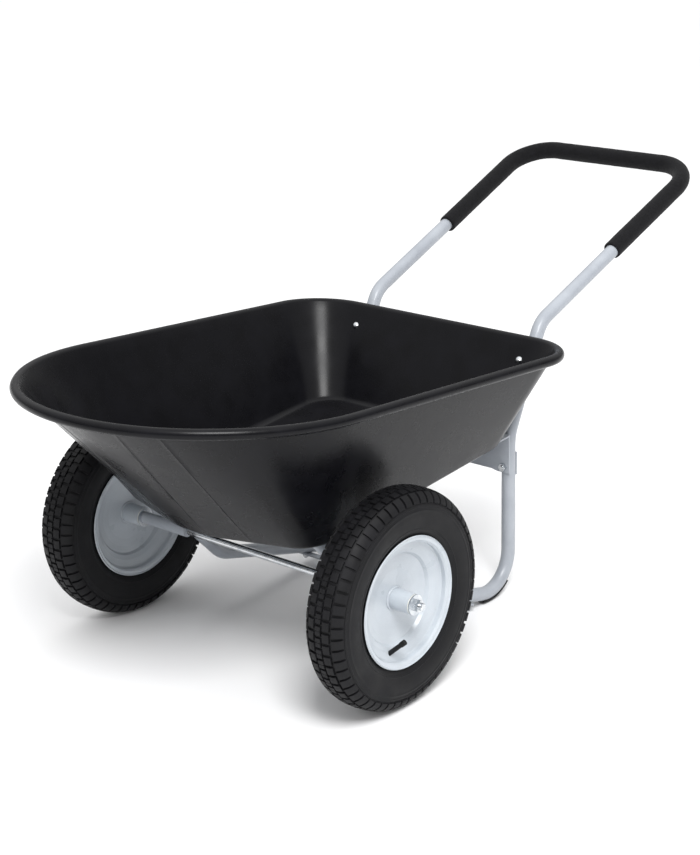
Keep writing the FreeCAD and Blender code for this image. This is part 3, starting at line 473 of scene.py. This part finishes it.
def carcass(distance, line, lengths):
    """Point and outward direction on the smooth tyre wall, measured from the crown."""
    i = max(k for k in range(len(line) - 1) if lengths[k] <= distance + 1e-9)
    span = lengths[i + 1] - lengths[i]
    point = line[i].lerp(line[i + 1], (distance - lengths[i]) / span)
    before = line[max(i - 1, 0)]
    after = line[min(i + 2, len(line) - 1)]
    along = (after - before).normalized()
    if distance < 1e-6:
        along = Vector((1, 0))
    return point, Vector((-along.y, along.x))


# block rows of half the tread, in mm from the crown: start, end, half a pitch on, sipe, waist
ROWS = [(0, 5.6, 0, True, 0.0), (7.8, 20.2, 1, False, 0.035), (22.4, 41.5, 0, False, 0.0)]
RAMP = 0.55                      # mm of slope at a block's edge
GAP = 0.095                      # half the gap between blocks, as a share of the pitch
SLOPE = 0.026                    # the slope of a block's end, as a share of the pitch


def tread_lines():
    """Shares of a pitch where grid lines lie: block ends, their slopes and the sipes."""
    base = [-GAP, -GAP - SLOPE, GAP, GAP + SLOPE]
    sipe = [-0.030, -0.012, 0.012, 0.030]
    lines = [v % 1 for v in base + [b + 0.5 for b in base] + sipe + [s + 0.5 for s in sipe] + [0.25, 0.75]]
    return sorted(lines)


def block_height(share, across_mm):
    """Height of the tread, 0 to 1, at a share of the pitch and a distance from the crown."""
    for start, end, shifted, sipe, waist in ROWS:
        if start <= across_mm <= end:
            edge = 1.0 if start == 0 else (across_mm - start) / RAMP
            edge = min(edge, (end - across_mm) / RAMP, 1.0)
            local = (share + (0.5 if shifted else 0.0) + 0.5) % 1 - 0.5
            ends = min(1.0, max(0.0, (abs(local) - GAP) / SLOPE))
            height = min(edge, ends)
            if sipe and across_mm > 1.0:
                slit = abs(abs(local) - 0.5)
                height = min(height, 0.35 + 0.65 * min(1.0, max(0.0, (slit - 0.012) / 0.018)))
            return max(0.0, height)
    return 0.0


def waist_shift(share, across_mm):
    """How far a block end moves round the tyre, as a share of the pitch, for the waisted row."""
    for start, end, shifted, sipe, waist in ROWS:
        if waist and start < across_mm < end:
            local = (share + 0.5 + (0.5 if shifted else 0.0)) % 1 - 0.5
            if abs(local) > 2.2 * GAP:
                return 0.0
            bulge = math.sin(math.pi * (across_mm - start) / (end - start))
            return math.copysign(waist * bulge, local)
    return 0.0


def tyre_profile():
    """Half the outer wall from the crown to the bead: (across, radius) in metres, less the blocks."""
    return [Vector((x * MM, r * MM)) for x, r in
            ((0, 180.6), (12, 180.0), (23, 176.8), (31, 169.8), (35.4, 160.0), (37.6, 148), (37.2, 136),
             (35.2, 125), (32.4, 117), (29.8, 112.6))]


SIDE_RINGS = [(45.5, 1.6, 0.6), (53.0, 0.6, 0.3), (84.0, 0.9, 0.5)]     # mm from the crown, half width, height


def sidewall_rings(distance_mm):
    """Raised rings on the sidewall: a band under the blocks and two fine lines lower down."""
    for centre, half_width, height in SIDE_RINGS:
        gap = abs(distance_mm - centre)
        if gap < half_width + 0.5:
            return height * min(1.0, (half_width + 0.5 - gap) / 0.5)
    return 0.0


def make_tyre(side):
    """A pneumatic tyre: smooth sidewalls, five rows of blocks and moulding vents."""
    low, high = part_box(side + "_tyre")
    centre = (low + high) / 2
    line = smooth_line(tyre_profile(), 12)
    lengths = [0.0]
    for a, b in zip(line, line[1:]):
        lengths.append(lengths[-1] + (b - a).length)
    total = lengths[-1] / MM
    marks = [0.0, 4.0]
    for start, end, shifted, sipe, waist in ROWS:
        marks += [end - RAMP, end] if start == 0 else [start, start + RAMP, end - RAMP, end]
        if start:
            marks += [start + (end - start) * k / 4 for k in (1, 2, 3)]
    for ring, half_width, height in SIDE_RINGS:
        marks += [ring - half_width - 0.5, ring - half_width, ring + half_width, ring + half_width + 0.5]
    marks += [49.5, 58, 63, 68, 73, 78, 88, total]
    marks = sorted(m for m in set(marks) if m <= total)
    shares = tread_lines()
    stations = [(m, 1) for m in reversed(marks)] + [(m, -1) for m in marks[1:]]
    inner = [Vector((26.5 * MM, 104.5 * MM)), Vector((27.5 * MM, 109.5 * MM))]
    points = []
    rings = PITCHES * len(shares)
    for pitch in range(PITCHES):
        for share in shares:
            for m, hand in stations:
                spot, out = carcass(m * MM, line, lengths)
                height = block_height(share, m) * LUG * (1.0 if m < 36 else 1.0 - (m - 36) / 20)
                spot = spot + out * (height + sidewall_rings(m) * MM)
                turn = 2 * math.pi * (pitch + share + waist_shift(share, m)) / PITCHES
                points.append(centre + Vector((hand * spot.x, spot.y * math.cos(turn),
                                               spot.y * math.sin(turn))))
            for hand in (-1, 1):
                for spot in (inner[::-1] if hand < 0 else inner):
                    turn = 2 * math.pi * (pitch + share) / PITCHES
                    points.append(centre + Vector((hand * spot.x, spot.y * math.cos(turn),
                                                   spot.y * math.sin(turn))))
    count = len(stations) + 4
    make_piece(side + "_treaded_tyre", points, ring_faces(rings, count, True), TYRE, side + "_wheel",
               [side + "_tyre"], sharp_angle=32)
    make_vents(side, centre, line, lengths)


def make_vents(side, centre, line, lengths):
    """Fine rubber hairs that the mould's vents leave on both sidewalls."""
    draw = random.Random(11 if side == "left" else 12)
    points, faces = [], []
    for hand in (-1, 1):
        for k in range(26):
            turn = 2 * math.pi * (k + draw.uniform(-0.2, 0.2)) / 26
            spot, out = carcass(draw.choice((49, 49, 62, 74)) * MM, line, lengths)
            length = draw.uniform(1.2, 3.0) * MM
            radial = Vector((0, math.cos(turn), math.sin(turn)))
            along = Vector((0, -math.sin(turn), math.cos(turn)))
            root = centre + Vector((hand * spot.x, 0, 0)) + radial * spot.y
            outward = Vector((hand * out.x, 0, 0)) + radial * out.y + along * draw.uniform(-0.5, 0.5)
            outward = outward.normalized()
            root = root - outward * (0.4 * MM)
            level = outward.cross(radial).normalized()
            cross = outward.cross(level)
            base = len(points)
            for step in range(5):
                angle = 2 * math.pi * step / 5
                points.append(root + (level * math.cos(angle) + cross * math.sin(angle)) * 0.35 * MM)
            points.append(root + outward * (length + 0.4 * MM))
            faces += [(base + s, base + (s + 1) % 5, base + 5) for s in range(5)]
            faces.append([base + s for s in range(4, -1, -1)])
    make_piece(side + "_tyre_vent_hairs", points, faces, TYRE, side + "_wheel")


for side in WHEELS:
    make_tyre(side)


# ------------------------------------------------------------------ grip
HANDLE_HALF = 201.2 * MM         # from the middle to each side of the loop, at the back
HANDLE_BACK_Z = 686.6 * MM
HANDLE_SLOPE = math.radians(21.06)
HANDLE_TAPER = (201.2 - 191.0) / 452      # how much the loop spreads on its way back
HANDLE_CORNER = 76 * MM
GRIP_START_Y = 447.05 * MM
GRIP_RADIUS = 17.0 * MM
GRIP_BORE = 12.6 * MM


def grip_path():
    """Places along the loop handle's centre, from the right leg round to the left, 4 mm apart."""
    back_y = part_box("handle_foam")[1].y - GRIP_RADIUS
    run = (back_y - GRIP_START_Y) / math.cos(HANDLE_SLOPE)
    down = Vector((0, -math.cos(HANDLE_SLOPE), -math.sin(HANDLE_SLOPE)))
    corner = Vector((HANDLE_HALF, back_y, HANDLE_BACK_Z))
    leg = (down - Vector((HANDLE_TAPER, 0, 0))).normalized()
    bend = HANDLE_CORNER
    back = Vector((-1, 0, 0))
    opening = leg.angle(back) / 2
    reach = bend / math.tan(opening)
    middle = corner + (leg + back).normalized() * (bend / math.sin(opening))
    first, last = corner + leg * reach, corner + back * reach
    step = 4 * MM
    places = []
    straight = run - reach
    count = round(straight / step)
    places += [first + leg * (straight * (1 - k / count)) for k in range(count)]
    a, b = (first - middle).normalized(), (last - middle).normalized()
    count = round(bend * a.angle(b) / step)
    places += [middle + a.slerp(b, k / count) * bend for k in range(count)]
    count = round(last.x / step)
    places += [last + back * (last.x * k / count) for k in range(count + 1)]
    return places + [Vector((-p.x, p.y, p.z)) for p in places[-2::-1]]


def make_grip():
    """A foam sleeve stretched over the loop, with softened ends and creases inside its bends."""
    path = grip_path()
    around, soften = 32, 2.4 * MM
    lengths = [0.0]
    for a, b in zip(path, path[1:]):
        lengths.append(lengths[-1] + (b - a).length)
    sections = []
    plane = (path[0] - path[len(path) // 2]).cross(Vector((1, 0, 0))).normalized()
    for i, place in enumerate(path):
        along = (path[min(i + 1, len(path) - 1)] - path[max(i - 1, 0)]).normalized()
        inside = plane.cross(along).normalized()
        sections.append((place, along, inside))
    points, rings = [], 0

    def ring(place, inside, radius, wrinkle, seed):
        for k in range(around):
            turn = 2 * math.pi * k / around
            out = inside * math.cos(turn) + plane * math.sin(turn)
            swell = noise.noise((place + out * radius) * 90) * 0.22 * MM if radius > 14 * MM else 0.0
            crease = wrinkle * max(0.0, out.dot(seed)) if radius > 14 * MM else 0.0
            points.append(place + out * (radius + swell - crease))

    for i, (place, along, inside) in enumerate(sections):
        before = sections[max(i - 3, 0)][1]
        after = sections[min(i + 3, len(sections) - 1)][1]
        bending = min(1.0, before.angle(after, 0.0) / 0.26)
        inner_side = (after - before).normalized() if bending > 0.02 else Vector((0, 0, 1))
        ripple = 0.5 + 0.5 * math.sin(lengths[i] / (9 * MM) * 2 * math.pi)
        near_end = min(lengths[i], lengths[-1] - lengths[i])
        if i == 0 or i == len(sections) - 1:
            direction = along if i == 0 else -along
            # the end face runs from the softened edge in to the bore
            steps = [(place, GRIP_RADIUS - soften),
                     (place + direction * soften * 0.1, GRIP_RADIUS - soften * 0.45),
                     (place + direction * soften * 0.45, GRIP_RADIUS - soften * 0.1)]
            if i == len(sections) - 1:
                steps = steps[::-1]
            for spot, radius in steps:
                ring(spot, inside, radius, 0.0, inner_side)
                rings += 1
        elif near_end > soften:
            ring(place, inside, GRIP_RADIUS, 0.35 * MM * bending * ripple, inner_side)
            rings += 1
    for place, along, inside in reversed(sections[::4] + [sections[-1]]):
        ring(place, inside, GRIP_BORE, 0.0, Vector((0, 0, 1)))
        rings += 1
    piece = make_piece("handle_grip", points, ring_faces(rings, around, True), FOAM, "frame",
                       ["handle_foam"], sharp_angle=60)


make_grip()


# ------------------------------------------------------------------ welds
def make_weld(name, centre, normal, across, radius_a, radius_b, bead, material, body):
    """A closed, rippled weld bead on an oval about centre."""
    level = across.normalized()
    other = normal.cross(level).normalized()
    count, around = 120, 10
    points = []
    for i in range(count):
        turn = 2 * math.pi * i / count
        out = (level * math.cos(turn) + other * math.sin(turn)).normalized()
        spot = centre + level * (radius_a * math.cos(turn)) + other * (radius_b * math.sin(turn))
        length = 2 * math.pi * (radius_a + radius_b) / 2 * i / count
        ripple = 1 + 0.10 * abs(math.sin(length / (2.6 * MM) * math.pi)) + 0.08 * noise.noise(spot * 160)
        for k in range(around):
            angle = 2 * math.pi * k / around
            points.append(spot + (out * math.cos(angle) + normal * math.sin(angle)) * (bead * ripple))
    make_piece(name, points, ring_faces(count, around, True), material, body, sharp_angle=80)


RISER_ANGLE = math.radians(47)
SLEEVE_RADIUS = 10.65 * MM
for side, sign in WHEELS.items():
    hub_low, hub_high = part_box(side + "_hub")
    hub_middle = (hub_low + hub_high) / 2
    hub_radius = (hub_high.z - hub_low.z) / 2
    for where, hand in (("outer", sign), ("inner", -sign)):
        make_weld("{}_hub_weld_{}".format(side, where), hub_middle + Vector((hand * 2.6 * MM, 0, 0)),
                  Vector((1, 0, 0)), Vector((0, 1, 0)), hub_radius + 0.9 * MM, hub_radius + 0.9 * MM, 2.1 * MM,
                  RIM_COAT, side + "_wheel")
    riser_normal = Vector((0, math.sin(RISER_ANGLE), math.cos(RISER_ANGLE)))
    contact = Vector((sign * HALF_FRAME, AXLE_Y, AXLE_Z)) + riser_normal * SLEEVE_RADIUS
    make_weld(side + "_sleeve_weld", contact, riser_normal, Vector((1, 0, 0)), 8 * MM, 8 * MM, 2.6 * MM,
              FRAME_COAT, "frame")


# ------------------------------------------------------------------ studio
def studio_floor():
    """A plain pale floor, large enough to fill every view."""
    mesh = bpy.data.meshes.new("studio_floor")
    reach = 30
    mesh.from_pydata([(-reach, -reach, 0), (reach, -reach, 0), (reach, reach, 0), (-reach, reach, 0)], [],
                     [(0, 1, 2, 3)])
    material, tree, shader, place = start_material("white_paper", Roughness=0.9, IOR=1.3)
    fibre = add(tree, "ShaderNodeTexNoise", {"Scale": per_metre(400), "Detail": 2.0}, {"Vector": place})
    tree.links.new(tint(tree, fibre.outputs["Fac"], "#f4f4f5", "#f7f7f7"), shader.inputs["Base Color"])
    mesh.materials.append(material)
    floor = bpy.data.objects.new("studio_floor", mesh)
    floor.location.z = -0.0005
    bpy.context.scene.collection.objects.link(floor)


def softbox(name, place, target, size, watts):
    """A rectangular soft light at place that faces target."""
    data = bpy.data.lights.new(name, "AREA")
    data.shape = "RECTANGLE"
    data.size, data.size_y = size
    data.energy = watts
    light = bpy.data.objects.new(name, data)
    light.location = place
    light.rotation_euler = (Vector(target) - Vector(place)).to_track_quat("-Z", "Y").to_euler()
    bpy.context.scene.collection.objects.link(light)


def studio_air():
    """White light from all round, like a bank of overhead lamps: dimmer near the horizon."""
    world = bpy.data.worlds.new("studio_air")
    world.use_nodes = True
    tree = world.node_tree
    tree.nodes.clear()
    way = add(tree, "ShaderNodeTexCoord").outputs["Generated"]
    height = add(tree, "ShaderNodeSeparateXYZ", links={0: way}).outputs["Z"]
    glow = add(tree, "ShaderNodeMapRange", {"From Min": 0.0, "From Max": 1.0, "To Min": 0.15, "To Max": 1.6},
               {"Value": height})
    air = add(tree, "ShaderNodeBackground", {"Color": (1, 1, 1, 1)}, {"Strength": glow.outputs[0]})
    add(tree, "ShaderNodeOutputWorld", links={"Surface": air.outputs[0]})
    bpy.context.scene.world = world


studio_floor()
studio_air()
softbox("key_softbox", (1.75, -1.6, 2.8), (-0.1, 0.1, 0.45), (1.1, 1.3), 95)
bpy.context.scene.view_settings.view_transform = "Standard"
